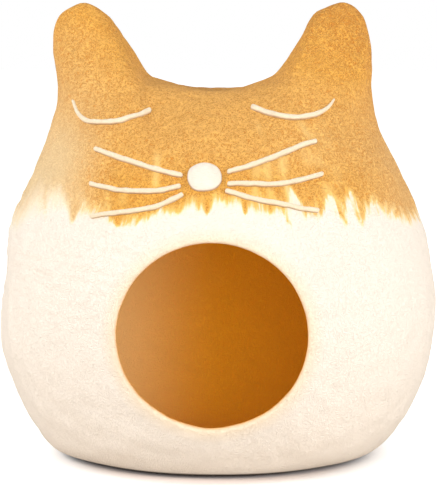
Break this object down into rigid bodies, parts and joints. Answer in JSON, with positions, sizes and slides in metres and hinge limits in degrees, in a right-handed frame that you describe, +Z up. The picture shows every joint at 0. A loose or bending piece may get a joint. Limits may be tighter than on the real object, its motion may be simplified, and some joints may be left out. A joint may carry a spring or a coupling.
{
  "type": "felt cat cave",
  "caption": "Hollow wool felt cave for a cat to sleep in, shaped as a cat's head with ears, a round mouth and a sleeping face",
  "frame": {"origin": "on the floor, under the middle of the cave's bounding box", "axes": "+Z up, -Y towards the front with the mouth and the face, +X to the viewer's right"},
  "size_m": [0.454, 0.4055, 0.4723],
  "materials": {
    "shell_felt": "thick matt wool felt, ochre above and cream below",
    "trim_felt": "cream wool, felted on"
  },
  "bodies": {
    "root": {"cave": "shell_felt", "nose": "trim_felt", "eye_left": "trim_felt", "eye_right": "trim_felt", "whisker_left_top": "trim_felt", "whisker_left_middle": "trim_felt", "whisker_left_low": "trim_felt", "whisker_right_top": "trim_felt", "whisker_right_middle": "trim_felt", "whisker_right_low": "trim_felt"}
  },
  "joints": []
}
